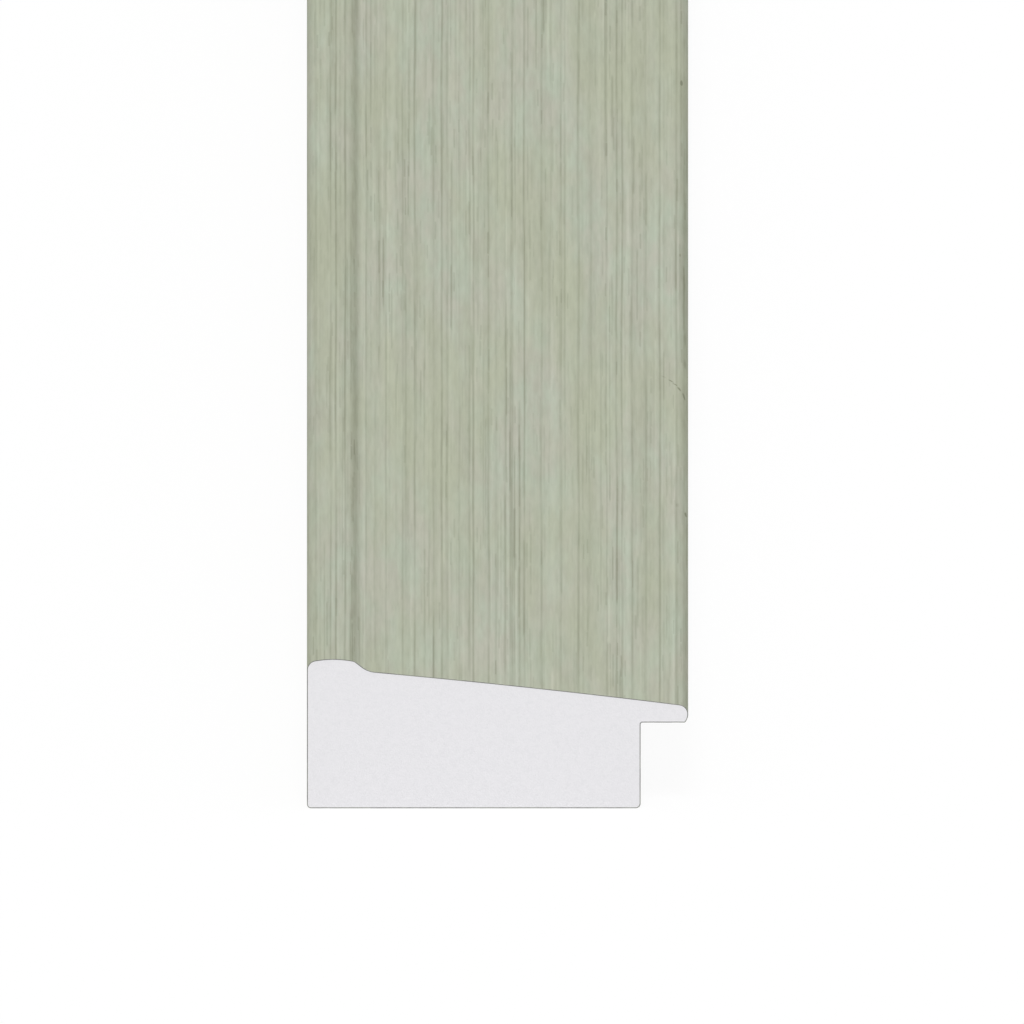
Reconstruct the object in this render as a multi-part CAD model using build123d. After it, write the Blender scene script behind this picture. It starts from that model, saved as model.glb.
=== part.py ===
from build123d import *
import math
import os

# One stick of picture-frame moulding, extruded in foamed polystyrene and sawn square at both ends.
# Millimetres. X runs across the section from the tall outer side to the thin sight edge,
# Y runs along the stick, and Z is up from the flat back. The origin is the middle of the back.

# Overall sizes
stick_length = 2900.0
section_width = 42.0
section_height = 17.0

# Bead along the outer side: a shallow crown between two rounded edges
bead_width = 5.25
bead_crown_place = 2.9
bead_crown_radius = 11.0
shoulder_radius = 1.1
knee_radius = 0.7

# Flank that falls from the bead into the cove
flank_angle = 38.0
cove_depth = 1.4
cove_radius = 3.0

# Front face, which swells a little between the cove and the nose
front_crown_radius = 980.0

# Nose of the sight edge: a round front and a flatter curve tucked in below it
nose_radius = 1.1
nose_under_radius = 1.5
nose_under_sweep = 40.0
lip_edge_radius = 0.15

# Rebate under the lip, for the glass, the picture and the backing
rebate_width = 5.25
rebate_depth = 9.75
rebate_corner_radius = 0.2

# Edges of the back
outer_back_radius = 0.45
rebate_back_radius = 0.55


def bead_height(across):
    """Height of the bead's crowned top, at a distance from the outer side."""
    from_crown = across - bead_crown_place
    return section_height - bead_crown_radius + math.sqrt(bead_crown_radius**2 - from_crown**2)


def knee_point():
    """Sharp corner where the bead's top meets the flank."""
    return Vector(bead_width, bead_height(bead_width))


def cove_point():
    """Sharp corner where the flank meets the front face."""
    foot = section_height - cove_depth
    knee = knee_point()
    reach = (knee.Y - foot) / math.tan(math.radians(flank_angle))
    return Vector(knee.X + reach, foot)


def nose_height():
    """Height of the nose's foremost point above the back."""
    return rebate_depth + nose_under_radius * math.sin(math.radians(nose_under_sweep))


def arc_about(centre, start, end):
    """Short arc about a centre, from its start to its end."""
    towards_middle = (start + end) / 2 - centre
    radius = (start - centre).length
    return ThreePointArc(start, centre + towards_middle.normalized() * radius, end)


def bead_top():
    """Crowned top of the bead, from the outer side over its highest point to the knee."""
    crown = Vector(bead_crown_place, section_height)
    return ThreePointArc(Vector(0, bead_height(0)), crown, knee_point())


def front_centre(nose_centre):
    """Centre of the front face's long arc, which passes the cove and is tangent to the nose."""
    span = nose_centre - cove_point()
    to_nose = front_crown_radius - nose_radius
    along = (front_crown_radius**2 - to_nose**2 + span.length**2) / (2 * span.length)
    aside = math.sqrt(front_crown_radius**2 - along**2)
    direction = span.normalized()
    return cove_point() + direction * along + Vector(direction.Y, -direction.X) * aside


def front_and_nose():
    """Front face, round nose and undercut, from the cove to the lip's lower edge."""
    tip = Vector(section_width, nose_height())
    nose_centre = tip - Vector(nose_radius, 0)
    long_centre = front_centre(nose_centre)
    meeting = long_centre + (nose_centre - long_centre).normalized() * front_crown_radius
    under_centre = tip - Vector(nose_under_radius, 0)
    lip_edge = under_centre + Vector(nose_under_radius, 0).rotate(Axis.Z, -nose_under_sweep)
    front = arc_about(long_centre, cove_point(), meeting)
    nose = arc_about(nose_centre, meeting, tip)
    under = arc_about(under_centre, tip, lip_edge)
    return [front, nose, under]


def straight_side_corners():
    """Corners along the straight sides: rebate corner, rebate edge and outer edge of the back, bead."""
    wall = section_width - rebate_width
    return [
        Vector(wall, rebate_depth),
        Vector(wall, 0),
        Vector(0, 0),
        Vector(0, bead_height(0)),
    ]


def flank_limit(radius):
    """A fillet's radius at one end of the flank, where it may take up to half of the flank."""
    half_flank = (cove_point() - knee_point()).length / 2
    return min(radius, half_flank / math.tan(math.radians(flank_angle / 2)))


def moulding_section():
    """The whole section as a face, with each sharp corner rounded."""
    front = front_and_nose()
    lip_edge = front[-1] @ 1
    rebate_corner, rebate_back, outer_back, outer_top = straight_side_corners()
    ledge = Line(lip_edge, rebate_corner)
    straight_sides = Polyline(rebate_corner, rebate_back, outer_back, outer_top)
    flank = Line(knee_point(), cove_point())
    section = Face(Wire([bead_top(), flank, *front, ledge, *straight_sides.edges()]))
    rounding = [
        (outer_top, shoulder_radius),
        (knee_point(), flank_limit(knee_radius)),
        (cove_point(), flank_limit(cove_radius)),
        (lip_edge, lip_edge_radius),
        (rebate_corner, rebate_corner_radius),
        (rebate_back, rebate_back_radius),
        (outer_back, outer_back_radius),
    ]
    for corner, radius in rounding:
        vertex = section.vertices().sort_by_distance(corner)[0]
        section = section.fillet_2d(radius, [vertex])
    return section


def moulding():
    """The stick: its section set upright, centred on the origin and drawn out along Y."""
    section = Pos(-section_width / 2, 0) * moulding_section()
    stick = extrude(Plane.XZ * section, amount=stick_length / 2, both=True)
    stick.label = "moulding"
    return stick


os.makedirs("parts", exist_ok=True)
export_step(moulding(), "parts/moulding.step")
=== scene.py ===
"""A stick of picture-frame moulding in foamed polystyrene, with a brushed sage-green coat.

Metres, in the solid model's frame: X runs across the section from the tall outer side to the thin
sight edge, Y runs along the stick, and Z is up from the flat back, which lies on the floor.
"""

from __future__ import annotations

import logging
import math
from dataclasses import dataclass, field
from enum import Enum, IntEnum
from functools import cached_property

import bpy
import numpy as np
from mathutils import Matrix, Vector, geometry

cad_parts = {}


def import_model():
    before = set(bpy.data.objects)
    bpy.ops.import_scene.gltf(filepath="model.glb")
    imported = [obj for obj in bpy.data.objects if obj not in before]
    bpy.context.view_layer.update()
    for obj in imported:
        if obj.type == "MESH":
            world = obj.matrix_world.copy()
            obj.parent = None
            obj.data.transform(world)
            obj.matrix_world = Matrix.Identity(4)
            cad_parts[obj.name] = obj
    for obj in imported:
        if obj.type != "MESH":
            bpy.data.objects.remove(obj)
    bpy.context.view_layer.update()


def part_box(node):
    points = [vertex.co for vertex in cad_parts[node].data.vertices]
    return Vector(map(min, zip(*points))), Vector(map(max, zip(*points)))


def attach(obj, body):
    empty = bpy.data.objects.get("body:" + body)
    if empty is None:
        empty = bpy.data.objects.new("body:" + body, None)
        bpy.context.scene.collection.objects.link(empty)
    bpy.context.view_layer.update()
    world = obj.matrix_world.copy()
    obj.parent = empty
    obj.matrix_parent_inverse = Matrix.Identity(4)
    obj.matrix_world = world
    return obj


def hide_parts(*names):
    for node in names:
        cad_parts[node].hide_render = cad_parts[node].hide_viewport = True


MM = 0.001
STICK_NODE = "moulding"
RUN_MAP = "stick_run"
WHITE = (1.0, 1.0, 1.0, 1.0)
FEWEST_ARC_POINTS = 3

Colour = tuple[float, float, float, float]
Socket = bpy.types.NodeSocket
Feed = float | Colour | Socket

log = logging.getLogger("moulding")


class Surface(IntEnum):
    """The four surfaces of the stick, numbered as its material slots."""

    COAT = 0
    SKIN = 1
    RIM = 2
    CUT_FOAM = 3


class StickEnd(Enum):
    """The two sawn ends, each with the direction that it faces along the stick."""

    NEAR = -1
    FAR = 1


# The section


@dataclass(frozen=True)
class Flat:
    """A straight side of the section, through a point and with a unit direction outwards."""

    point: Vector
    outward: Vector

    def clearance(self, place: Vector) -> float:
        """How far a place lies outside the side."""
        return (place - self.point).dot(self.outward)

    def outward_at(self, place: Vector) -> Vector:
        """Direction out of the polystyrene, the same everywhere on a flat side."""
        return self.outward


@dataclass(frozen=True)
class Bulge:
    """A round side of the section, which swells outwards about the centre of its arc."""

    centre: Vector
    radius: float

    def clearance(self, place: Vector) -> float:
        """How far a place lies outside the side."""
        return (place - self.centre).length - self.radius

    def outward_at(self, place: Vector) -> Vector:
        """Direction out of the polystyrene nearest to a place."""
        return (place - self.centre).normalized()


@dataclass(frozen=True)
class Stretch:
    """One straight or round stretch of the outline, between two points.

    The mesh's points along it are a step apart at most. Its centre is None where it is straight, and
    it is hollow where its arc curves into the polystyrene.
    """

    start: Vector
    end: Vector
    step: float
    surface: Surface
    centre: Vector | None = None
    hollow: bool = False

    def points(self) -> list[tuple[Vector, Vector]]:
        """Places along the stretch, from its start to just before its end.

        Returns:
            Pairs of a place and the direction out of the polystyrene there.
        """
        if self.centre is None:
            run = self.end - self.start
            count = max(1, math.ceil(run.length / self.step))
            outward = Vector((-run.y, run.x)).normalized()
            return [(self.start + run * index / count, outward) for index in range(count)]
        first = self.start - self.centre
        last = self.end - self.centre
        turn = math.atan2(first.x * last.y - first.y * last.x, first.dot(last))
        count = max(FEWEST_ARC_POINTS, math.ceil(abs(turn) * first.length / self.step))
        made = []
        for index in range(count):
            cosine, sine = math.cos(turn * index / count), math.sin(turn * index / count)
            arm = Vector((first.x * cosine - first.y * sine, first.x * sine + first.y * cosine))
            outward = -arm.normalized() if self.hollow else arm.normalized()
            made.append((self.centre + arm, outward))
        return made


@dataclass(frozen=True)
class Side:
    """One side of the section, with the sharp corner at its end.

    The radius rounds that corner. It is below zero in a hollow corner, and None where the next side
    runs on smoothly. The mesh's points are a step apart at most, along the side and round the corner.
    """

    shape: Flat | Bulge
    step: float
    surface: Surface
    corner: Vector
    radius: float | None = None
    corner_step: float = 0.0

    def rounding(self, following: Side) -> Stretch:
        """The arc round the corner, or a stretch of no length where the sides run on smoothly.

        Args:
            following: The side after the corner, on whose surface the arc lies.

        Returns:
            The arc.
        """
        if self.radius is None:
            return Stretch(self.corner, self.corner, self.step, following.surface)
        centre = self._rounding_centre(following)
        start = centre + self.shape.outward_at(centre) * self.radius
        end = centre + following.shape.outward_at(centre) * self.radius
        return Stretch(start, end, self.corner_step, following.surface, centre, self.radius < 0)

    def _rounding_centre(self, following: Side, rounds: int = 12) -> Vector:
        """Centre of the arc, which lies a radius inside both sides.

        Args:
            following: The side after the corner.
            rounds: How often the centre is moved, each time as if both sides were flat.

        Returns:
            The arc's centre.
        """
        centre = self.corner.copy()
        for _ in range(rounds):
            normal_a = self.shape.outward_at(centre)
            normal_b = following.shape.outward_at(centre)
            miss_a = self.shape.clearance(centre) + self.radius
            miss_b = following.shape.clearance(centre) + self.radius
            spread = normal_a.x * normal_b.y - normal_a.y * normal_b.x
            centre = centre - Vector((
                (miss_a * normal_b.y - miss_b * normal_a.y) / spread,
                (miss_b * normal_a.x - miss_a * normal_b.x) / spread,
            ))
        return centre


@dataclass(frozen=True)
class Outline:
    """The section's outline as a closed ring of places, clockwise seen from the near end.

    Each place, across and up, has the direction out of the polystyrene, the surface of the strip
    that follows it and its girth, the distance round the ring. The last girth is the whole way round.
    """

    places: np.ndarray
    outward: np.ndarray
    surfaces: np.ndarray
    girth: np.ndarray

    @classmethod
    def along(cls, stretches: list[Stretch]) -> Outline:
        """Gathers the stretches' places into one ring.

        Args:
            stretches: The stretches in order.

        Returns:
            The outline.
        """
        walked = [(*spot, stretch.surface) for stretch in stretches for spot in stretch.points()]
        places, outward, surfaces = (np.array(values) for values in zip(*walked))
        steps = np.linalg.norm(np.roll(places, -1, axis=0) - places, axis=1)
        return cls(places, outward, surfaces, np.concatenate([[0.0], np.cumsum(steps)]))

    def girth_at(self, across: float) -> float:
        """Distance round the ring to a place on the front of the moulding.

        Args:
            across: The place's distance from the outer side.

        Returns:
            The distance round the ring.
        """
        nose = int(np.argmax(self.places[:, 0]))
        rising = self.places[: nose + 1, 0]
        off_outer_side = rising > rising[0] + 0.0001 * MM
        first = int(np.argmax(off_outer_side)) - 1
        return float(np.interp(across, rising[first:], self.girth[first : nose + 1]))

    def girth_inside(self, inset: float) -> float:
        """Distance round the ring to the place on the front at a distance in from the sight edge."""
        return self.girth_at(self.places[:, 0].max() - inset)

    def coat_edges(self) -> tuple[float, float]:
        """Distances round the ring to the coat's edges, at the lip and at the back."""
        changes = np.flatnonzero(self.surfaces != np.roll(self.surfaces, 1))
        return float(self.girth[changes[-1]]), float(self.girth[-1])


@dataclass(frozen=True)
class MouldingSection:
    """The extruded section, with places measured across from the outer side and up from the back.

    The bead's width reaches to the sharp corner where its flank begins. The cove's depth is that of
    its sharp corner below the bead's highest point. The curve tucked in under the nose turns through
    its sweep. The rebate's depth is taken from the back.
    """

    width: float
    height: float
    bead_width: float = 5.25 * MM
    bead_crown_place: float = 2.9 * MM
    bead_crown_radius: float = 11.0 * MM
    shoulder_radius: float = 1.1 * MM
    knee_radius: float = 0.7 * MM
    flank_angle: float = math.radians(38.0)
    cove_depth: float = 1.4 * MM
    cove_radius: float = 3.0 * MM
    front_crown_radius: float = 980.0 * MM
    nose_radius: float = 1.1 * MM
    nose_under_radius: float = 1.5 * MM
    nose_under_sweep: float = math.radians(40.0)
    lip_edge_radius: float = 0.15 * MM
    rebate_width: float = 5.25 * MM
    rebate_depth: float = 9.75 * MM
    rebate_corner_radius: float = 0.2 * MM
    outer_back_radius: float = 0.45 * MM
    rebate_back_radius: float = 0.55 * MM

    def bead(self) -> Bulge:
        """Crowned top of the bead."""
        centre = Vector((self.bead_crown_place, self.height - self.bead_crown_radius))
        return Bulge(centre, self.bead_crown_radius)

    def bead_height(self, across: float) -> float:
        """Height of the bead's top at a distance from the outer side."""
        crown = self.bead()
        return crown.centre.y + math.sqrt(crown.radius**2 - (across - crown.centre.x) ** 2)

    def knee(self) -> Vector:
        """Sharp corner between the bead's top and the flank."""
        return Vector((self.bead_width, self.bead_height(self.bead_width)))

    def cove(self) -> Vector:
        """Sharp corner between the flank and the front face."""
        foot = self.height - self.cove_depth
        return Vector((self.bead_width + (self.knee().y - foot) / math.tan(self.flank_angle), foot))

    def flank(self) -> Flat:
        """Slope that falls from the bead into the cove."""
        return Flat(self.knee(), Vector((math.sin(self.flank_angle), math.cos(self.flank_angle))))

    def flank_limit(self, radius: float) -> float:
        """A radius at one end of the flank, where it may take up to half of the flank."""
        half_flank = (self.cove() - self.knee()).length / 2
        return min(radius, half_flank / math.tan(self.flank_angle / 2))

    def nose_tip(self) -> Vector:
        """Foremost point of the sight edge."""
        rise = self.nose_under_radius * math.sin(self.nose_under_sweep)
        return Vector((self.width, self.rebate_depth + rise))

    def nose(self) -> Bulge:
        """Round front of the sight edge."""
        return Bulge(self.nose_tip() - Vector((self.nose_radius, 0.0)), self.nose_radius)

    def under_nose(self) -> Bulge:
        """Flatter curve tucked in below the nose."""
        centre = self.nose_tip() - Vector((self.nose_under_radius, 0.0))
        return Bulge(centre, self.nose_under_radius)

    def lip_corner(self) -> Vector:
        """Sharp corner at the lip's lower edge."""
        under = self.under_nose()
        return Vector((under.centre.x + under.radius * math.cos(self.nose_under_sweep), self.rebate_depth))

    def front(self) -> Bulge:
        """Long sloping face, which starts in the cove and runs smoothly into the nose.

        Returns:
            The face's arc, which passes the cove and touches the nose from outside.
        """
        nose = self.nose()
        span = nose.centre - self.cove()
        to_nose = self.front_crown_radius - nose.radius
        along = (self.front_crown_radius**2 - to_nose**2 + span.length**2) / (2 * span.length)
        aside = math.sqrt(self.front_crown_radius**2 - along**2)
        direction = span.normalized()
        centre = self.cove() + direction * along + Vector((direction.y, -direction.x)) * aside
        return Bulge(centre, self.front_crown_radius)

    def front_end(self) -> Vector:
        """Where the front face runs into the nose."""
        nose = self.nose()
        return nose.centre + (nose.centre - self.front().centre).normalized() * self.nose_radius

    def sides(self) -> list[Side]:
        """The sides in order, from the outer side over the front and back again.

        Returns:
            The sides, each with the corner at its end.
        """
        wall = self.width - self.rebate_width
        rebate_corner = Vector((wall, self.rebate_depth))
        rebate_back = Vector((wall, 0.0))
        outer_back = Vector((0.0, 0.0))
        outer_top = Vector((0.0, self.bead_height(0.0)))
        outer_side = Flat(outer_back, Vector((-1.0, 0.0)))
        ledge = Flat(rebate_corner, Vector((0.0, -1.0)))
        rebate_wall = Flat(rebate_back, Vector((1.0, 0.0)))
        back = Flat(outer_back, Vector((0.0, -1.0)))
        knee_radius = self.flank_limit(self.knee_radius)
        cove_radius = self.flank_limit(self.cove_radius)
        lip, lip_radius = self.lip_corner(), self.lip_edge_radius
        corner_radius = self.rebate_corner_radius
        coat, skin = Surface.COAT, Surface.SKIN
        return [
            Side(outer_side, 0.9 * MM, coat, outer_top, self.shoulder_radius, 0.11 * MM),
            Side(self.bead(), 0.22 * MM, coat, self.knee(), knee_radius, 0.08 * MM),
            Side(self.flank(), 0.15 * MM, coat, self.cove(), -cove_radius, 0.15 * MM),
            Side(self.front(), 0.3 * MM, coat, self.front_end()),
            Side(self.nose(), 0.12 * MM, coat, self.nose_tip()),
            Side(self.under_nose(), 0.15 * MM, coat, lip, lip_radius, 0.05 * MM),
            Side(ledge, 0.6 * MM, skin, rebate_corner, -corner_radius, 0.06 * MM),
            Side(rebate_wall, 0.8 * MM, skin, rebate_back, self.rebate_back_radius, 0.12 * MM),
            Side(back, 0.9 * MM, skin, outer_back, self.outer_back_radius, 0.12 * MM),
        ]

    def outline(self) -> Outline:
        """The whole outline, with the sides cut where the corners' arcs begin and end.

        Returns:
            The outline, from the foot of the outer side.
        """
        sides = self.sides()
        arcs = [side.rounding(following) for side, following in zip(sides, sides[1:] + sides[:1])]
        stretches = []
        for side, before, after in zip(sides, arcs[-1:] + arcs, arcs):
            centre = side.shape.centre if isinstance(side.shape, Bulge) else None
            stretches.append(Stretch(before.end, after.start, side.step, side.surface, centre))
            if side.radius is not None:
                stretches.append(after)
        return Outline.along(stretches)


# Marks on the sight edge


@dataclass(frozen=True)
class Knock:
    """A mark near the sight edge: mostly a small scuff or nick in the coat, and once a long faint darker
    band.

    Attributes:
        inset: Distance in from the sight edge.
        distance: Distance from the near end.
        width: Width across the stick.
        length: Length along the stick.
        darkness: How much of the coat's colour it takes, from 0 to 1.
        dent: Depth pressed into the surface.
        lean: How far it drifts across, per unit of its length.
    """

    inset: float
    distance: float
    width: float
    length: float
    darkness: float
    dent: float = 0.0
    lean: float = 0.0


SIGHT_EDGE_KNOCKS = (
    Knock(0.73 * MM, 275.5 * MM, 0.34 * MM, 2.6 * MM, 0.85, 0.05 * MM),
    # A long faint darker band along the sight edge, about 130 mm long.
    Knock(0.45 * MM, 198.0 * MM, 1.50 * MM, 105.0 * MM, 0.16),
    Knock(0.90 * MM, 199.0 * MM, 0.30 * MM, 1.8 * MM, 0.25),
    Knock(0.35 * MM, 162.6 * MM, 0.60 * MM, 6.7 * MM, 0.20),
    Knock(0.35 * MM, 151.7 * MM, 0.60 * MM, 4.4 * MM, 0.20),
    Knock(2.70 * MM, 144.3 * MM, 0.50 * MM, 1.0 * MM, 0.20, 0.0, -0.5),
    Knock(1.90 * MM, 142.9 * MM, 0.40 * MM, 1.2 * MM, 0.55, 0.04 * MM, -0.5),
    Knock(1.45 * MM, 141.6 * MM, 0.36 * MM, 1.4 * MM, 0.55, 0.04 * MM, -0.4),
    Knock(1.00 * MM, 139.8 * MM, 0.34 * MM, 2.0 * MM, 0.60, 0.04 * MM, -0.2),
    Knock(0.45 * MM, 137.2 * MM, 0.36 * MM, 2.8 * MM, 0.75, 0.05 * MM, -0.1),
    Knock(1.20 * MM, 88.2 * MM, 0.50 * MM, 2.2 * MM, 0.18),
    Knock(0.25 * MM, 85.6 * MM, 0.42 * MM, 2.0 * MM, 0.95, 0.06 * MM),
)


# Shader wiring


def emptied(owner: bpy.types.Material | bpy.types.World) -> bpy.types.NodeTree:
    """Node tree of a material or a world, with nothing in it."""
    owner.use_nodes = True
    owner.node_tree.nodes.clear()
    return owner.node_tree


class Wiring:
    """Adds nodes to one node tree and joins them."""

    def __init__(self, tree: bpy.types.NodeTree) -> None:
        """Keeps the tree that the nodes go into."""
        self.tree = tree

    def node(
        self, kind: str, inputs: dict[str | int, Feed] | None = None, **settings: object
    ) -> bpy.types.Node:
        """Adds a node.

        Args:
            kind: The node's type.
            inputs: What goes into its sockets, by name or place: a value or another node's output.
            **settings: The node's own settings.

        Returns:
            The node.
        """
        made = self.tree.nodes.new(kind)
        for name, value in settings.items():
            setattr(made, name, value)
        for name, value in (inputs or {}).items():
            self.feed(made.inputs[name], value)
        return made

    def feed(self, socket: Socket, value: Feed) -> None:
        """Joins an output to a socket, or sets the socket's own value.

        Args:
            socket: The socket.
            value: The output or the value.
        """
        if isinstance(value, Socket):
            self.tree.links.new(value, socket)
        else:
            socket.default_value = value

    def math(self, operation: str, *values: Feed, clamp: bool = False) -> Socket:
        """Result of a Math node."""
        inputs = dict(enumerate(values))
        return self.node("ShaderNodeMath", inputs, operation=operation, use_clamp=clamp).outputs[0]

    def ramp(
        self, value: Feed, low: Feed, high: Feed, at_low: Feed = 0.0, at_high: Feed = 1.0
    ) -> Socket:
        """Eases from one number to another as a value goes from low to high.

        Args:
            value: The value.
            low: Where the easing begins.
            high: Where it ends.
            at_low: The number at the beginning.
            at_high: The number at the end.

        Returns:
            The eased number.
        """
        inputs = {"Value": value, "From Min": low, "From Max": high, "To Min": at_low, "To Max": at_high}
        kind = "ShaderNodeMapRange"
        return self.node(kind, inputs, interpolation_type="SMOOTHSTEP").outputs["Result"]

    def between(self, share: Feed, low: float, high: float) -> Socket:
        """The number at a share of the way from low to high."""
        return self.math("MULTIPLY_ADD", share, high - low, low)

    def blend(self, share: Feed, first: Feed, second: Feed) -> Socket:
        """Two colours, mixed by a share."""
        return self.node("ShaderNodeMix", {0: share, 6: first, 7: second}, data_type="RGBA").outputs[2]

    def vector(self, x: Feed, y: Feed, z: Feed) -> Socket:
        """Three numbers, joined into a vector."""
        return self.node("ShaderNodeCombineXYZ", {0: x, 1: y, 2: z}).outputs[0]

    def total(self, values: list[Socket]) -> Socket:
        """Sum of several numbers.

        Args:
            values: The numbers.

        Returns:
            Their sum.
        """
        result = values[0]
        for value in values[1:]:
            result = self.math("ADD", result, value)
        return result

    def chance(self, x: Feed, y: Feed, z: Feed) -> bpy.types.NodeOutputs:
        """Three random numbers that belong to a place."""
        noise = self.node("ShaderNodeTexWhiteNoise", {"Vector": self.vector(x, y, z)})
        return self.node("ShaderNodeSeparateColor", {0: noise.outputs["Color"]}).outputs

    def place(self, effect: bpy.types.NodeTree, **inputs: Feed) -> bpy.types.NodeOutputs:
        """Outputs of an effect's node group, which is placed with its inputs by name."""
        return self.node("ShaderNodeGroup", inputs, node_tree=effect).outputs


class EffectGroup(Wiring):
    """A shader node group with named inputs and outputs, while it is being built."""

    def __init__(self, name: str, inputs: dict[str, float], outputs: list[str]) -> None:
        """Makes an empty group.

        Args:
            name: The group's name.
            inputs: Each number that it takes, with its usual value.
            outputs: Each number that it gives.
        """
        super().__init__(bpy.data.node_groups.new(name, "ShaderNodeTree"))
        number = "NodeSocketFloat"
        for socket, value in inputs.items():
            made = self.tree.interface.new_socket(socket, in_out="INPUT", socket_type=number)
            made.default_value = value
        for socket in outputs:
            self.tree.interface.new_socket(socket, in_out="OUTPUT", socket_type=number)
        self.given = self.node("NodeGroupInput").outputs
        self.wanted = self.node("NodeGroupOutput").inputs

    def finish(self, **outputs: Socket) -> bpy.types.NodeTree:
        """Joins the results to the group's outputs.

        Args:
            **outputs: The results by name.

        Returns:
            The finished group.
        """
        for name, value in outputs.items():
            self.feed(self.wanted[name], value)
        return self.tree


class SharedEffects:
    """The node groups that the finishes share. Lengths in them are millimetres."""

    def __init__(self) -> None:
        """Builds each group once."""
        self.run = self._run()
        self.streaks = self._streaks()
        self.brush_line = self._brush_line()
        self.bristles = self._bristles()
        self.knock = self._knock()
        self.edge = self._edge()
        self.cells = self._cells()

    @staticmethod
    def _run() -> bpy.types.NodeTree:
        """Where a point is.

        Returns:
            Group with the distance round the section and the distance from the near end.
        """
        group = EffectGroup("place_on_the_stick", {}, ["Girth", "Along"])
        run_map = group.node("ShaderNodeUVMap", uv_map=RUN_MAP)
        parts = group.node("ShaderNodeSeparateXYZ", {0: run_map.outputs[0]}).outputs
        girth, along = (group.math("MULTIPLY", part, 1.0 / MM) for part in parts[:2])
        return group.finish(Girth=girth, Along=along)

    @staticmethod
    def _streaks() -> bpy.types.NodeTree:
        """Random streaks along the stick.

        Returns:
            Group with their tone, which is around one half.
        """
        inputs = {"Girth": 0.0, "Along": 0.0, "Spacing": 0.6, "Run": 60.0, "Detail": 1.0, "Seed": 0.0}
        group = EffectGroup("lengthwise_streaks", inputs, ["Tone"])
        given = group.given
        across = group.math("DIVIDE", given["Girth"], given["Spacing"])
        along = group.math("DIVIDE", given["Along"], given["Run"])
        spot = group.vector(across, along, given["Seed"])
        texture = {"Vector": spot, "Scale": 1.0, "Detail": given["Detail"], "Roughness": 0.6}
        return group.finish(Tone=group.node("ShaderNodeTexNoise", texture).outputs[0])

    @staticmethod
    def _brush_line() -> bpy.types.NodeTree:
        """One dark line that the brush has drawn along the stick.

        Returns:
            Group with its darkness.
        """
        inputs = {"Girth": 0.0, "Place": 0.0, "HalfWidth": 0.2, "Depth": 0.1}
        group = EffectGroup("brush_line", inputs, ["Darkness"])
        given = group.given
        off = group.math("ABSOLUTE", group.math("SUBTRACT", given["Girth"], given["Place"]))
        profile = group.ramp(off, given["HalfWidth"], 0.0)
        return group.finish(Darkness=group.math("MULTIPLY", profile, given["Depth"]))

    @staticmethod
    def _bristles() -> bpy.types.NodeTree:
        """Thin broken lines left by single bristles, at random places across and along.

        The stick is split into lanes, and each lane into strokes, of which a share holds a line.

        Returns:
            Group with the lines' darkness.
        """
        inputs = {"Girth": 0.0, "Along": 0.0, "Pitch": 0.4, "Run": 60.0, "Share": 0.3, "Seed": 0.0}
        group = EffectGroup("bristle_lines", inputs, ["Darkness"])
        given = group.given
        lane_place = group.math("DIVIDE", given["Girth"], given["Pitch"])
        lane = group.math("FLOOR", lane_place)
        of_lane = group.chance(lane, given["Seed"], 0.0)
        pace = group.between(of_lane[0], 0.55, 1.45)
        lane_start = group.between(of_lane[1], 0.0, 57.0)
        runs_along = group.math("DIVIDE", given["Along"], given["Run"])
        stroke_place = group.math("MULTIPLY_ADD", runs_along, pace, lane_start)
        stroke = group.math("FLOOR", stroke_place)
        of_stroke = group.chance(lane, given["Seed"], stroke)
        present = group.ramp(of_stroke[0], given["Share"], 0.0)
        centre = group.between(of_stroke[1], 0.32, 0.68)
        half_width = group.between(of_stroke[2], 0.24, 0.50)
        aside = group.math("SUBTRACT", group.math("FRACT", lane_place), centre)
        profile = group.ramp(group.math("ABSOLUTE", aside), half_width, 0.0)
        ahead = group.math("FRACT", stroke_place)
        to_end = group.math("MINIMUM", ahead, group.math("SUBTRACT", 1.0, ahead))
        body = group.math("MULTIPLY", profile, group.ramp(to_end, 0.0, 0.08))
        return group.finish(Darkness=group.math("MULTIPLY", body, present))

    @staticmethod
    def _knock() -> bpy.types.NodeTree:
        """One soft-edged oval mark.

        Returns:
            Group with its darkness.
        """
        places = {"Girth": 0.0, "Along": 0.0, "Place": 0.0, "Distance": 0.0}
        shape = {"Width": 0.3, "Length": 2.0, "Lean": 0.0, "Depth": 0.5}
        group = EffectGroup("knock", places | shape, ["Darkness"])
        given = group.given
        ahead = group.math("SUBTRACT", given["Along"], given["Distance"])
        drifted = group.math("MULTIPLY_ADD", ahead, given["Lean"], given["Place"])
        u = group.math("DIVIDE", group.math("SUBTRACT", given["Girth"], drifted), given["Width"])
        v = group.math("DIVIDE", ahead, given["Length"])
        square = group.math("MULTIPLY_ADD", u, u, group.math("MULTIPLY", v, v))
        faded, full = 0.62, 0.12
        mask = group.ramp(group.math("SQRT", square), faded, full)
        return group.finish(Darkness=group.math("MULTIPLY", mask, given["Depth"]))

    @staticmethod
    def _edge() -> bpy.types.NodeTree:
        """A band along an edge of the stick.

        Returns:
            Group with the band's share, full at its place and gone at its reach to each side.
        """
        inputs = {"Girth": 0.0, "Place": 0.0, "Before": 1.0, "After": 1.0}
        group = EffectGroup("edge_band", inputs, ["Band"])
        given = group.given
        before_place = group.math("SUBTRACT", given["Place"], given["Girth"])
        after_place = group.math("SUBTRACT", given["Girth"], given["Place"])
        before = group.math("DIVIDE", before_place, given["Before"])
        after = group.math("DIVIDE", after_place, given["After"])
        return group.finish(Band=group.ramp(group.math("MAXIMUM", before, after), 1.0, 0.0))

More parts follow.
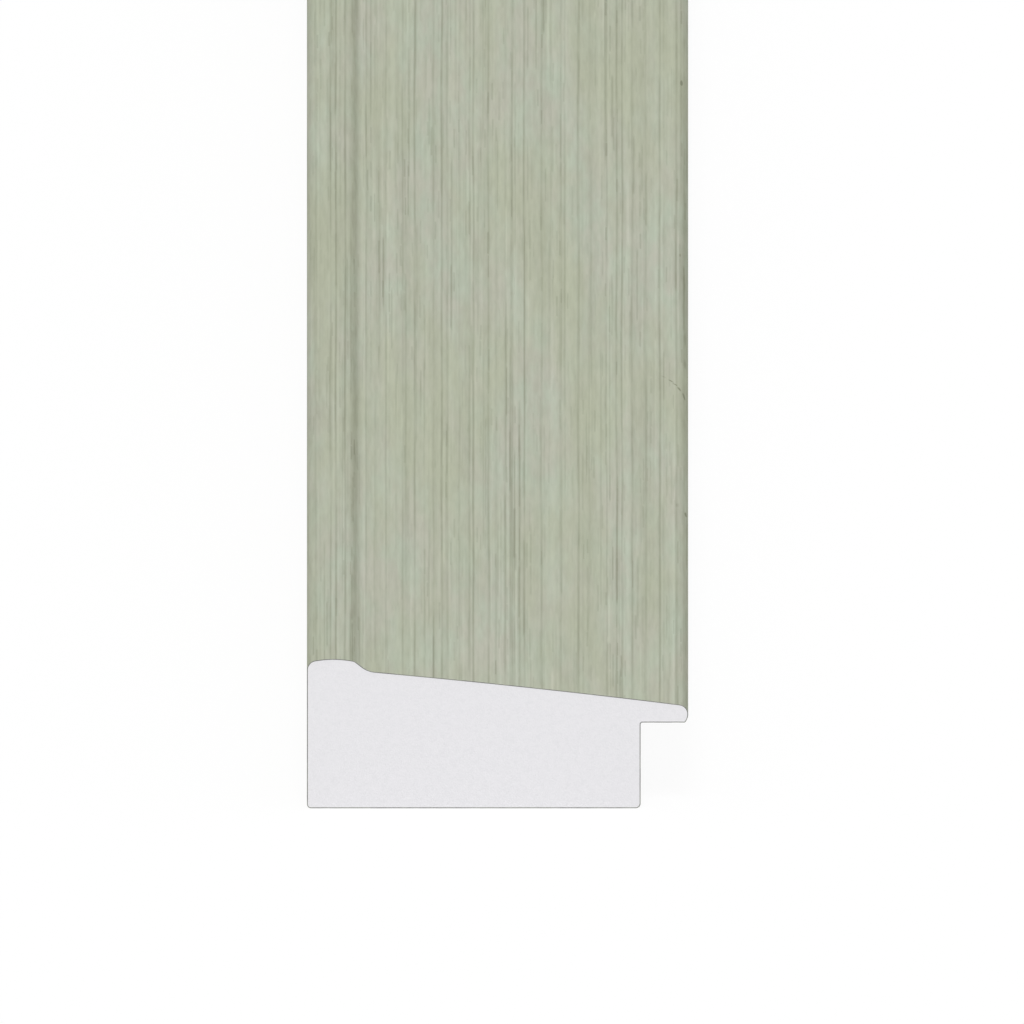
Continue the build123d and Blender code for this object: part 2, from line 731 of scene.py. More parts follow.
    @staticmethod
    def _cells() -> bpy.types.NodeTree:
        """Fine closed cells of the foam.

        Returns:
            Group with their height and an uneven tone around one half.
        """
        group = EffectGroup("foam_cells", {"Size": 0.25}, ["Height", "Tone"])
        where = group.node("ShaderNodeTexCoord").outputs["Object"]
        scale = group.math("DIVIDE", 1.0 / MM, group.given["Size"])
        cells = group.node("ShaderNodeTexVoronoi", {"Vector": where, "Scale": scale})
        height = group.ramp(cells.outputs["Distance"], 0.1, 0.75)
        coarse = group.math("MULTIPLY", scale, 0.35)
        cloud = {"Vector": where, "Scale": coarse, "Detail": 3.0, "Roughness": 0.6}
        return group.finish(Height=height, Tone=group.node("ShaderNodeTexNoise", cloud).outputs[0])


# Finishes


@dataclass(frozen=True)
class Streaks:
    """A set of soft random streaks along the stick. Lengths are millimetres.

    Attributes:
        spacing: Distance between them, across.
        run: Their length.
        detail: Rounds of finer streaks within them.
        seed: Seed of their places.
        depth: How much of the coat's colour they take, from 0 to 1.
    """

    spacing: float
    run: float
    detail: float
    seed: float
    depth: float = 0.0


@dataclass(frozen=True)
class Bristles:
    """A set of thin broken lines, each left by one bristle. Lengths are millimetres.

    Attributes:
        pitch: Width of the lane that a line lies in.
        run: Usual length of a line.
        share: Share of the strokes that hold a line.
        seed: Seed of their places.
        depth: How much of the coat's colour they take, below zero in light lines.
    """

    pitch: float
    run: float
    share: float
    seed: float
    depth: float


@dataclass(frozen=True)
class EdgeBand:
    """A band along an edge. On the coat it is painted shade, and painted light where its depth is below
    zero; on the skin it is the coat's overspray.

    Attributes:
        girth: Its place, as a distance round the section.
        before: How far it reaches back from there.
        after: How far it reaches on from there.
        depth: How much of the coat's colour it takes as painted shade, below zero in painted light.
    """

    girth: float
    before: float
    after: float
    depth: float = 0.0


@dataclass(frozen=True)
class BrushLine:
    """A lengthwise line of the brushed coat. Lengths are millimetres.

    Attributes:
        across: Distance from the outer side.
        half_width: Distance from its middle to where it has faded out.
        depth: How much of the coat's colour it takes, from 0 to 1.
    """

    across: float
    half_width: float
    depth: float


BRUSH_LINES = (
    BrushLine(1.0, 0.20, 0.10),
    BrushLine(2.6, 0.20, 0.22),
    BrushLine(3.2, 0.20, 0.25),
    BrushLine(4.2, 0.22, 0.29),
    BrushLine(6.5, 0.20, 0.17),
    BrushLine(8.7, 0.20, 0.16),
    BrushLine(10.55, 0.20, 0.17),
    BrushLine(11.87, 0.22, 0.23),
    BrushLine(13.95, 0.20, 0.13),
    BrushLine(14.85, 0.22, 0.25),
    BrushLine(15.5, 0.24, 0.14),
    BrushLine(16.8, 0.24, 0.09),
    BrushLine(17.95, 0.22, 0.13),
    BrushLine(18.33, 0.22, 0.24),
    BrushLine(20.0, 0.22, 0.18),
    BrushLine(21.85, 0.20, 0.06),
    BrushLine(22.65, 0.22, 0.20),
    BrushLine(23.96, 0.22, 0.18),
    BrushLine(25.88, 0.24, 0.17),
    BrushLine(28.0, 0.24, 0.14),
    BrushLine(29.9, 0.24, 0.18),
    BrushLine(31.1, 0.24, 0.08),
    BrushLine(33.0, 0.20, 0.17),
    BrushLine(34.1, 0.22, 0.24),
    BrushLine(34.7, 0.22, 0.25),
    BrushLine(35.8, 0.22, 0.20),
    BrushLine(37.3, 0.20, 0.09),
    BrushLine(38.88, 0.22, 0.24),
    BrushLine(40.7, 0.24, 0.15),
)


class FinishBench(Wiring):
    """One finish of the stick while it is being wired, with all that it needs at hand."""

    def __init__(self, name: str, effects: SharedEffects, outline: Outline) -> None:
        """Makes a material with a plain shader.

        Args:
            name: The material's name.
            effects: The shared node groups.
            outline: The section's outline, on which marks are placed.
        """
        self.material = bpy.data.materials.new(name)
        super().__init__(emptied(self.material))
        self.effects = effects
        self.outline = outline
        self.shader = self.node("ShaderNodeBsdfPrincipled")
        self.node("ShaderNodeOutputMaterial", {"Surface": self.shader.outputs["BSDF"]})

    @cached_property
    def run(self) -> bpy.types.NodeOutputs:
        """Distance round the section and distance from the near end."""
        return self.place(self.effects.run)

    def mark(self, effect: bpy.types.NodeTree, **inputs: Feed) -> Socket:
        """Result of an effect that depends on the place on the stick."""
        return self.place(effect, Girth=self.run["Girth"], Along=self.run["Along"], **inputs)[0]

    def streaks(self, streaks: Streaks) -> Socket:
        """Tone of a set of streaks, around one half.

        Args:
            streaks: The set.

        Returns:
            The tone.
        """
        return self.mark(
            self.effects.streaks,
            Spacing=streaks.spacing, Run=streaks.run, Detail=streaks.detail, Seed=streaks.seed,
        )

    def band(self, band: EdgeBand) -> Socket:
        """Share of a band along an edge.

        Args:
            band: The band.

        Returns:
            Its share, from 0 to 1.
        """
        return self.place(
            self.effects.edge, Girth=self.run["Girth"],
            Place=band.girth / MM, Before=band.before / MM, After=band.after / MM,
        )[0]

    def bump(self, height: Feed, depth: float, strength: float) -> Socket:
        """Normal of a surface with fine relief."""
        inputs = {"Strength": strength, "Distance": depth, "Height": height}
        return self.node("ShaderNodeBump", inputs).outputs[0]

    def finish(self, **sockets: Feed) -> None:
        """Feeds the shader's sockets, by name, a space written as _."""
        for name, value in sockets.items():
            self.feed(self.shader.inputs[name.replace("_", " ")], value)


@dataclass(frozen=True)
class BrushedCoat:
    """The sage-green coat on the outer side, the bead and the front, dragged along with a brush.

    Its plain stone colour has streaks of green and moss, and dark lines take it towards groove. Where
    lines cross, their darkness comes softly to the deepest. The bristles' lines gather in streaks, and the
    strong lines come and go. They sway by as much as the sway, in millimetres. The same dark colour is the
    painted shade along the coat's edges, and painted light lifts the lower flank and the cove.
    """

    name: str = "brushed_sage_coat"
    stone: Colour = (0.498, 0.501, 0.413, 1.0)
    green: Colour = (0.479, 0.542, 0.430, 1.0)
    moss: Colour = (0.461, 0.489, 0.360, 1.0)
    # The dark lines' colour, which is also the colour of the painted shade along the edges.
    groove_and_shade: Colour = (0.186, 0.198, 0.130, 1.0)
    roughness: float = 0.62
    line_roughness: float = 0.15
    specular: float = 0.3
    groove_depth: float = 0.09 * MM
    deepest: float = 0.70
    deepest_ease: float = 0.2
    greenish: Streaks = Streaks(spacing=3.2, run=25.0, detail=3.0, seed=11.0)
    mossy: Streaks = Streaks(spacing=7.0, run=80.0, detail=4.0, seed=23.0)
    gathered: Streaks = Streaks(spacing=4.0, run=150.0, detail=2.0, seed=29.0)
    swaying: Streaks = Streaks(spacing=9.0, run=70.0, detail=1.0, seed=61.0)
    coming_and_going: Streaks = Streaks(spacing=1.1, run=50.0, detail=3.0, seed=67.0)
    # Uneven strength of the painted shade and painted light along the edges.
    painted_shade_wander: Streaks = Streaks(spacing=1.2, run=25.0, detail=2.0, seed=31.0)
    sway: float = 0.3
    grains: tuple[Streaks, ...] = (
        Streaks(spacing=0.60, run=900.0, detail=1.0, seed=3.0, depth=0.11),
        Streaks(spacing=2.30, run=300.0, detail=3.0, seed=5.0, depth=0.12),
        Streaks(spacing=0.50, run=8.0, detail=2.0, seed=7.0, depth=0.15),
        Streaks(spacing=2.60, run=30.0, detail=3.0, seed=19.0, depth=0.08),
    )
    bristles: tuple[Bristles, ...] = (
        Bristles(pitch=0.55, run=1800.0, share=0.42, seed=71.0, depth=0.11),
        Bristles(pitch=0.50, run=110.0, share=0.30, seed=73.0, depth=0.23),
        Bristles(pitch=0.47, run=30.0, share=0.30, seed=79.0, depth=0.24),
        Bristles(pitch=0.42, run=9.0, share=0.28, seed=83.0, depth=0.22),
        Bristles(pitch=0.52, run=45.0, share=0.22, seed=89.0, depth=-0.15),
    )

    def wire(self, bench: FinishBench) -> None:
        """Wires the coat.

        Args:
            bench: The coat's bench.
        """
        fine = self._fine_grain(bench)
        crossing = bench.math("ADD", fine, self._lines(bench))
        brushed = bench.math("SMOOTH_MIN", crossing, self.deepest, self.deepest_ease)
        # Adds the painted shade and painted light along the edges.
        with_painted_edges = bench.math("ADD", brushed, self._painted_edge_light_and_shade(bench))
        darkness = bench.math("ADD", with_painted_edges, self._knocks(bench), clamp=True)
        bench.finish(
            Base_Color=bench.blend(darkness, self._ground(bench), self.groove_and_shade),
            Roughness=bench.math("MULTIPLY_ADD", darkness, self.line_roughness, self.roughness),
            Specular_IOR_Level=self.specular,
            Normal=bench.bump(bench.math("SUBTRACT", 1.0, fine), self.groove_depth, strength=0.6),
        )

    def _ground(self, bench: FinishBench) -> Socket:
        """The coat's colour between the lines.

        Args:
            bench: The coat's bench.

        Returns:
            The colour, with soft greenish and mossy patches.
        """
        green_share, moss_share = (
            bench.ramp(bench.streaks(streaks), 0.35, 0.70) for streaks in (self.greenish, self.mossy)
        )
        return bench.blend(moss_share, bench.blend(green_share, self.stone, self.green), self.moss)

    def _fine_grain(self, bench: FinishBench) -> Socket:
        """The close fine lines that cover the whole coat.

        Args:
            bench: The coat's bench.

        Returns:
            Their darkness.
        """
        crowding = bench.ramp(bench.streaks(self.gathered), 0.32, 0.68, 0.35, 1.22)
        made = []
        for bristles in self.bristles:
            lines = bench.mark(
                bench.effects.bristles,
                Pitch=bristles.pitch, Run=bristles.run, Share=bristles.share, Seed=bristles.seed,
            )
            made.append(bench.math("MULTIPLY", lines, bench.math("MULTIPLY", crowding, bristles.depth)))
        for grain in self.grains:
            made.append(bench.ramp(bench.streaks(grain), 0.74, 0.22, 0.0, grain.depth))
        return bench.total(made)

    def _lines(self, bench: FinishBench) -> Socket:
        """The strong single lines, which sway a little, and come and go.

        Args:
            bench: The coat's bench.

        Returns:
            Their darkness.
        """
        centred = bench.math("SUBTRACT", bench.streaks(self.swaying), 0.5)
        swayed = bench.math("MULTIPLY_ADD", centred, self.sway, bench.run["Girth"])
        made = [
            bench.place(
                bench.effects.brush_line, Girth=swayed,
                Place=bench.outline.girth_at(line.across * MM) / MM,
                HalfWidth=line.half_width, Depth=line.depth,
            )[0]
            for line in BRUSH_LINES
        ]
        strength = bench.ramp(bench.streaks(self.coming_and_going), 0.34, 0.58, 0.65, 1.50)
        return bench.math("MULTIPLY", bench.total(made), strength)

    def _painted_edge_light_and_shade(self, bench: FinishBench) -> Socket:
        """Painted shade where the outer shoulder, the knee and the sight edge turn from the light, and
        painted light on the lower flank and in the cove.

        Args:
            bench: The coat's bench.

        Returns:
            Their darkness, below zero in the painted light.
        """
        girth_at, girth_inside = bench.outline.girth_at, bench.outline.girth_inside
        # Painted shade on the outer shoulder, which rounds away from the light.
        shoulder = EdgeBand(girth_at(0.15 * MM), before=1.0 * MM, after=1.4 * MM, depth=0.16)
        # Painted shade at the knee, where the bead breaks into the flank that turns from the light.
        knee = EdgeBand(girth_at(5.30 * MM), before=0.90 * MM, after=0.75 * MM, depth=0.40)
        # Painted light on the lower flank and in the cove, which the lamp leaves in shade.
        cove = EdgeBand(girth_at(6.20 * MM), before=0.50 * MM, after=1.30 * MM, depth=-0.10)
        # Painted shade on the nose and its tip, which curve away from the light.
        nose = EdgeBand(girth_inside(0.5 * MM), before=1.3 * MM, after=0.9 * MM, depth=0.16)
        nose_tip = EdgeBand(girth_inside(0.15 * MM), before=0.75 * MM, after=0.8 * MM, depth=0.34)
        uneven = bench.streaks(self.painted_shade_wander)
        made = []
        for band in (shoulder, knee, cove, nose, nose_tip):
            strength = bench.ramp(uneven, 0.3, 0.7, band.depth * 0.85, band.depth * 1.15)
            made.append(bench.math("MULTIPLY", bench.band(band), strength))
        return bench.total(made)

    def _knocks(self, bench: FinishBench) -> Socket:
        """The marks near the sight edge, with the one long band.

        Args:
            bench: The coat's bench.

        Returns:
            Their darkness.
        """
        return bench.total([
            bench.mark(
                bench.effects.knock,
                Place=bench.outline.girth_inside(knock.inset) / MM, Distance=knock.distance / MM,
                Width=knock.width / MM, Length=knock.length / MM,
                Lean=knock.lean, Depth=knock.darkness,
            )
            for knock in SIGHT_EDGE_KNOCKS
        ])


@dataclass(frozen=True)
class BareSkin:
    """The extruded skin of the back and the rebate, white with faint die lines and cells.

    The coat has run over its two edges by the overspray, raggedly. A cell is given in millimetres,
    and the relief is the depth of the die lines and cells.
    """

    name: str = "bare_extruded_skin"
    white: Colour = (0.80, 0.80, 0.80, 1.0)
    dull: Colour = (0.66, 0.66, 0.64, 1.0)
    sage: Colour = (0.462, 0.488, 0.383, 1.0)
    roughness: float = 0.45
    die_roughness: float = 0.2
    specular: float = 0.4
    overspray: float = 0.7 * MM
    relief: float = 0.06 * MM
    cell: float = 0.5
    die_lines: Streaks = Streaks(spacing=0.8, run=1500.0, detail=3.0, seed=41.0)
    ragged: Streaks = Streaks(spacing=0.5, run=6.0, detail=3.0, seed=53.0)

    def wire(self, bench: FinishBench) -> None:
        """Wires the skin.

        Args:
            bench: The skin's bench.
        """
        die = bench.streaks(self.die_lines)
        cells = bench.place(bench.effects.cells, Size=self.cell)
        dulled = bench.ramp(die, 0.55, 0.25, 0.0, 0.6)
        mottled = bench.math("MULTIPLY_ADD", cells["Tone"], 0.3, dulled, clamp=True)
        colour = bench.blend(mottled, self.white, self.dull)
        height = bench.math("MULTIPLY_ADD", cells["Height"], 0.15, die)
        bench.finish(
            Base_Color=bench.blend(self._overspray(bench), colour, self.sage),
            Roughness=bench.math("MULTIPLY_ADD", dulled, self.die_roughness, self.roughness),
            Specular_IOR_Level=self.specular,
            Normal=bench.bump(height, self.relief, strength=0.4),
        )

    def _overspray(self, bench: FinishBench) -> Socket:
        """The coat that has run over its two edges onto the skin.

        Args:
            bench: The skin's bench.

        Returns:
            Its share, from 0 to 1.
        """
        reach = self.overspray
        bands = [EdgeBand(girth, reach, reach) for girth in bench.outline.coat_edges()]
        share = bench.math("MAXIMUM", *[bench.band(band) for band in bands])
        centred = bench.math("SUBTRACT", bench.streaks(self.ragged), 0.5)
        return bench.ramp(bench.math("MULTIPLY_ADD", share, 0.9, centred), 0.25, 0.55)


@dataclass(frozen=True)
class SkinRim:
    """The dense grey edge of skin round each sawn end, where the saw has smeared the coat.

    The size of a smear is given in millimetres.
    """

    name: str = "sawn_skin_rim"
    grey: Colour = (0.20, 0.20, 0.195, 1.0)
    smeared: Colour = (0.26, 0.27, 0.235, 1.0)
    roughness: float = 0.5
    specular: float = 0.3
    smear: float = 0.8

    def wire(self, bench: FinishBench) -> None:
        """Wires the rim.

        Args:
            bench: The rim's bench.
        """
        share = bench.ramp(bench.place(bench.effects.cells, Size=self.smear)["Tone"], 0.4, 0.6)
        colour = bench.blend(share, self.grey, self.smeared)
        bench.finish(Base_Color=colour, Roughness=self.roughness, Specular_IOR_Level=self.specular)


@dataclass(frozen=True)
class CutFoam:
    """The sawn foam of the ends, white with close cells.

    A cell is given in millimetres, and the relief is its depth.
    """

    name: str = "sawn_foam"
    white: Colour = (0.828, 0.820, 0.842, 1.0)
    cell_wall: Colour = (0.795, 0.79, 0.812, 1.0)
    roughness: float = 0.9
    specular: float = 0.15
    cell: float = 0.22
    relief: float = 0.04 * MM

    def wire(self, bench: FinishBench) -> None:
        """Wires the sawn foam.

        Args:
            bench: The foam's bench.
        """
        cells = bench.place(bench.effects.cells, Size=self.cell)
        shade = bench.math("MULTIPLY", cells["Height"], bench.ramp(cells["Tone"], 0.3, 0.7))
        height = bench.math("MULTIPLY_ADD", cells["Tone"], 0.5, cells["Height"])
        bench.finish(
            Base_Color=bench.blend(shade, self.white, self.cell_wall),
            Roughness=self.roughness,
            Specular_IOR_Level=self.specular,
            Normal=bench.bump(height, self.relief, strength=0.25),
        )


# The stick


def put_in_scene(name: str, data: bpy.types.ID) -> bpy.types.Object:
    """Object that shows a mesh, a light or a camera in the scene."""
    thing = bpy.data.objects.new(name, data)
    bpy.context.scene.collection.objects.link(thing)
    return thing


@dataclass
class MeshDraft:
    """A mesh that is being put together.

    Each face is the numbers of its vertices, and has a surface and its corners' places on the map.
    """

    vertices: list[list[float]] = field(default_factory=list)
    faces: list[list[int]] = field(default_factory=list)
    surfaces: list[int] = field(default_factory=list)
    corners: list[list[tuple[float, float]]] = field(default_factory=list)

    def add_vertices(self, places: np.ndarray) -> list[int]:
        """Adds vertices and gives their numbers."""
        self.vertices.extend(places.tolist())
        return list(range(len(self.vertices) - len(places), len(self.vertices)))

    def add_face(self, face: list[int], surface: int, corners: list[tuple[float, float]]) -> None:
        """Adds a face.

        Args:
            face: Numbers of its vertices.
            surface: Its surface.
            corners: Its corners' places on the map.
        """
        self.faces.append(face)
        self.surfaces.append(surface)
        self.corners.append(corners)

    def mesh(self, name: str) -> bpy.types.Mesh:
        """Makes the mesh.

        Args:
            name: The mesh's name.

        Returns:
            The mesh, smooth, with its surfaces and its map.
        """
        made = bpy.data.meshes.new(name)
        made.from_pydata(self.vertices, [], self.faces)
        made.polygons.foreach_set("material_index", self.surfaces)
        made.polygons.foreach_set("use_smooth", [True] * len(self.faces))
        run_map = made.uv_layers.new(name=RUN_MAP)
        flat = [value for corners in self.corners for corner in corners for value in corner]
        run_map.data.foreach_set("uv", flat)
        made.update()
        return made


@dataclass(frozen=True)
class SurfaceRelief:
    """Shallow relief of the long surfaces: brushed grooves, die lines and dents. It goes inwards.

    Attributes:
        brushed_depth: Greatest depth of the coat's grooves.
        steady_share: Share of that depth that is the same along the whole stick.
        die_depth: Greatest depth of the skin's die lines.
        dent_length: Reach of a dent along the stick, as a share of its mark's length.
        dent_width: Reach of a dent across it, as a share of its mark's width.
        row_run: Rows from one random depth of a groove to the next.
        seed: Seed of the random depths.
    """

    brushed_depth: float = 0.022 * MM
    steady_share: float = 0.45
    die_depth: float = 0.015 * MM
    dent_length: float = 0.5
    dent_width: float = 0.6
    row_run: int = 6
    seed: int = 17

    def depths(self, outline: Outline, rows: np.ndarray) -> np.ndarray:
        """How far each vertex lies below the smooth section.

        Args:
            outline: The section's outline.
            rows: Distance of each row from the near end.

        Returns:
            Depths by row and by place on the outline.
        """
        chance = np.random.default_rng(self.seed)
        steady = chance.random(len(outline.places)) ** 2
        spans = max(2, len(rows) // self.row_run)
        knots = np.linspace(rows[0], rows[-1], spans)
        coarse = chance.random((spans, len(outline.places)))
        wandering = np.column_stack([np.interp(rows, knots, column) for column in coarse.T]) ** 2
        brushed = self.steady_share * steady + (1.0 - self.steady_share) * wandering
        coat = outline.surfaces == Surface.COAT
        depths = np.where(coat, self.brushed_depth * brushed, self.die_depth * steady)
        for knock in SIGHT_EDGE_KNOCKS:
            past = rows[:, None] - knock.distance
            off = outline.girth[:-1] - outline.girth_inside(knock.inset) - knock.lean * past
            ahead = past / (knock.length * self.dent_length)
            aside = off / (knock.width * self.dent_width)
            depths = depths + knock.dent * np.exp(-(ahead**2) - aside**2)
        return depths


@dataclass(frozen=True)
class SawnEnd:
    """One sawn end: a thin rim of skin round a fine field of cut foam.

    Attributes:
        end: Which end of the stick it is.
        seed: Seed of the field's unevenness.
        rim: Width of the rim.
        rim_fall: How far the rim's inner edge lies below its outer one.
        cell: Spacing of the field's points.
        shake: How far a point is moved from its even place, as a share of the spacing.
        relief: Greatest depth of the field's points.
        least_relief: Least depth of them, as a share of the greatest.
    """

    end: StickEnd
    seed: int
    rim: float = 0.105 * MM
    rim_fall: float = 0.01 * MM
    cell: float = 0.5 * MM
    shake: float = 0.12
    relief: float = 0.03 * MM
    least_relief: float = 0.4

    def close(self, draft: MeshDraft, ring: list[int], outline: Outline, shift: float) -> None:
        """Closes one end of the stick.

        Args:
            draft: The mesh that the end is added to.
            ring: Numbers of the end row's vertices.
            outline: The section's outline.
            shift: From the outline's origin to the frame's, across.
        """
        plane = draft.vertices[ring[0]][1]
        border = outline.places - outline.outward * self.rim + (shift, 0.0)
        inner_ring = self._add_points(draft, border, plane, self.rim_fall)
        for index, (number, inner) in enumerate(zip(ring, inner_ring)):
            after = (index + 1) % len(ring)
            self._add_face(draft, [number, ring[after], inner_ring[after], inner], Surface.RIM)
        self._fill(draft, border, inner_ring, plane)

    def _add_points(
        self, draft: MeshDraft, spots: np.ndarray, plane: float, depth: float | np.ndarray
    ) -> list[int]:
        """Adds points of the end.

        Args:
            draft: The mesh that they are added to.
            spots: Their places, across and up.
            plane: Where the end lies along the stick.
            depth: How far they lie below it.

        Returns:
            Their numbers.
        """
        along = np.broadcast_to(plane - self.end.value * depth, len(spots))
        return draft.add_vertices(np.column_stack([spots[:, 0], along, spots[:, 1]]))

    def _add_face(self, draft: MeshDraft, face: list[int], surface: Surface) -> None:
        """Adds a face of the end, with its corners in the order that makes it look out of the stick.

        Args:
            draft: The mesh that it is added to.
            face: Numbers of its vertices.
            surface: Its surface.
        """
        spots = [(draft.vertices[number][0], draft.vertices[number][2]) for number in face]
        a, b, c = spots[:3]
        area = (b[0] - a[0]) * (c[1] - a[1]) - (b[1] - a[1]) * (c[0] - a[0])
        turned = 1 if area * self.end.value < 0 else -1
        draft.add_face(face[::turned], int(surface), spots[::turned])

    def _fill(
        self, draft: MeshDraft, border: np.ndarray, inner_ring: list[int], plane: float
    ) -> None:
        """Fills the inner ring with small uneven triangles.

        Args:
            draft: The mesh that they are added to.
            border: Places of the inner ring.
            inner_ring: Numbers of its vertices.
            plane: Where the end lies along the stick.
        """
        chance = np.random.default_rng(self.seed)
        spots = self._inner_spots(border, chance)
        share = self.least_relief + (1.0 - self.least_relief) * chance.random(len(spots))
        numbers = inner_ring + self._add_points(draft, spots, plane, self.relief * share)
        flat = [Vector(spot) for spot in np.concatenate([border, spots])]
        inside_only, merged_gap = 1, 1e-9
        loop = list(range(len(border)))
        found = geometry.delaunay_2d_cdt(flat, [], [loop], inside_only, merged_gap)
        triangles, sources = found[2], found[3]
        for triangle in triangles:
            face = [numbers[sources[corner][0]] for corner in triangle]
            self._add_face(draft, face, Surface.CUT_FOAM)

    def _inner_spots(self, border: np.ndarray, chance: np.random.Generator) -> np.ndarray:
        """Slightly shaken points of a triangular grid, inside the border and clear of it.

        Args:
            border: Places of the border.
            chance: Source of the shaking.

        Returns:
            The points.
        """
        low, high = border.min(0), border.max(0)
        row_height = self.cell * math.sqrt(3) / 2
        spots = []
        for row, up in enumerate(np.arange(low[1], high[1], row_height)):
            offset = self.cell / 2 if row % 2 else 0.0
            spots += [(across, up) for across in np.arange(low[0] + offset, high[0], self.cell)]
        shaken = np.array(spots) + chance.uniform(-self.shake, self.shake, (len(spots), 2)) * self.cell
        return shaken[self._clear_inside(shaken, border)]

    def _clear_inside(self, spots: np.ndarray, border: np.ndarray) -> np.ndarray:
        """Finds the points that lie inside the border, half a cell or more away from it.

        Args:
            spots: The points.
            border: Places of the border.

        Returns:
            True for each such point.
        """
        least_rise = 1e-12
        inside = np.zeros(len(spots), bool)
        nearest = np.full(len(spots), np.inf)
        for start, end in zip(border, np.roll(border, -1, axis=0)):
            run = end - start
            rise = run[1] if abs(run[1]) > least_rise else least_rise
            level = (start[1] > spots[:, 1]) != (end[1] > spots[:, 1])
            inside ^= level & (spots[:, 0] < start[0] + (spots[:, 1] - start[1]) * run[0] / rise)
            share = np.clip(((spots - start) @ run) / (run @ run), 0.0, 1.0)
            gap = np.linalg.norm(spots - start - share[:, None] * run, axis=1)
            nearest = np.minimum(nearest, gap)
        return inside & (nearest > self.cell / 2)


@dataclass
class MouldingStick:
    """The whole stick, from one sawn end to the other.

    Attributes:
        low: Lowest corner of the solid's box.
        high: Highest corner of the solid's box.
        close_stretch: Length from the near end with closer rows.
        close_row: Spacing of the rows there.
        far_row: Spacing of the rows elsewhere.
        least_row: Spacing that no two rows fall below.
        dent_rows: Rows at a dent, as shares of its length from its middle.
        length: Length of the stick, from the box.
        outline: The section's outline, from the box.
    """

    low: Vector
    high: Vector
    close_stretch: float = 300.0 * MM
    close_row: float = 5.0 * MM
    far_row: float = 14.0 * MM
    least_row: float = 0.25 * MM
    dent_rows: tuple[float, ...] = (-0.8, -0.4, 0.0, 0.4, 0.8)
    length: float = field(init=False)
    outline: Outline = field(init=False)

    def __post_init__(self) -> None:
        """Works out the length and the outline from the box."""
        size = self.high - self.low
        self.length = size.y
        self.outline = MouldingSection(size.x, size.z).outline()

    def rows(self) -> np.ndarray:
        """Places of the mesh's rows, closer together at the dents.

        Returns:
            Distances from the near end.
        """
        near = np.arange(0.0, self.close_stretch, self.close_row)
        far_count = math.ceil((self.length - self.close_stretch) / self.far_row)
        far = np.linspace(self.close_stretch, self.length, far_count + 1)
        dented = [knock for knock in SIGHT_EDGE_KNOCKS if knock.dent > 0.0]
        close = [knock.distance + knock.length * share for knock in dented for share in self.dent_rows]
        rows = np.unique(np.concatenate([near, far, close]))
        rows = rows[np.concatenate([[True], np.diff(rows) > self.least_row])]
        rows[-1] = self.length
        return rows

    def build(self) -> bpy.types.Object:
        """Builds the stick as one closed mesh.

        Returns:
            The stick's object.
        """
        draft = MeshDraft()
        rings = self._long_surfaces(draft, self.rows())
        SawnEnd(StickEnd.NEAR, seed=5).close(draft, rings[0], self.outline, self.low.x)
        SawnEnd(StickEnd.FAR, seed=6).close(draft, rings[-1], self.outline, self.low.x)
        mesh = draft.mesh("moulding_stick")
        self._sharpen(mesh, rings[0] + rings[-1])
        return put_in_scene("moulding_stick", mesh)

    def _long_surfaces(self, draft: MeshDraft, rows: np.ndarray) -> list[list[int]]:
        """Draws the outline out along the rows.

        Args:
            draft: The mesh that they are added to.
            rows: Distance of each row from the near end.

        Returns:
            Each row's vertices, by their numbers.
        """
        outline = self.outline
        count = len(outline.places)
        depths = SurfaceRelief().depths(outline, rows)
        rings = []
        for row, depth in zip(rows, depths):
            places = outline.places - outline.outward * depth[:, None] + (self.low.x, self.low.z)
            along = np.full(count, self.low.y + row)
            rings.append(draft.add_vertices(np.column_stack([places[:, 0], along, places[:, 1]])))
        for ring, following, start, end in zip(rings, rings[1:], rows, rows[1:]):
            for place in range(count):
                after = (place + 1) % count
                girth, girth_after = outline.girth[place], outline.girth[place + 1]
                face = [ring[place], ring[after], following[after], following[place]]
                corners = [(girth, start), (girth_after, start), (girth_after, end), (girth, end)]
                draft.add_face(face, int(outline.surfaces[place]), corners)
        return rings

    @staticmethod
    def _sharpen(mesh: bpy.types.Mesh, sawn: list[int]) -> None:
        """Keeps the sawn edges sharp.

        Args:
            mesh: The stick's mesh.
            sawn: Numbers of the vertices on the sawn edges.
        """
        at_end = np.zeros(len(mesh.vertices), bool)
        at_end[sawn] = True
        pairs = np.empty(len(mesh.edges) * 2, np.int32)
        mesh.edges.foreach_get("vertices", pairs)
        sharp = at_end[pairs.reshape(-1, 2)].all(axis=1)
        mesh.edges.foreach_set("use_edge_sharp", sharp.tolist())

    def dress(self, stick: bpy.types.Object, effects: SharedEffects) -> None:
        """Gives the stick its four finishes, in the order of their slots.

        Args:
            stick: The stick's object.
            effects: The shared node groups.
        """
        finishes = {
            Surface.COAT: BrushedCoat(),
            Surface.SKIN: BareSkin(),
            Surface.RIM: SkinRim(),
            Surface.CUT_FOAM: CutFoam(),
        }
        for surface in Surface:
            bench = FinishBench(finishes[surface].name, effects, self.outline)
            finishes[surface].wire(bench)
            stick.data.materials.append(bench.material)


# The studio


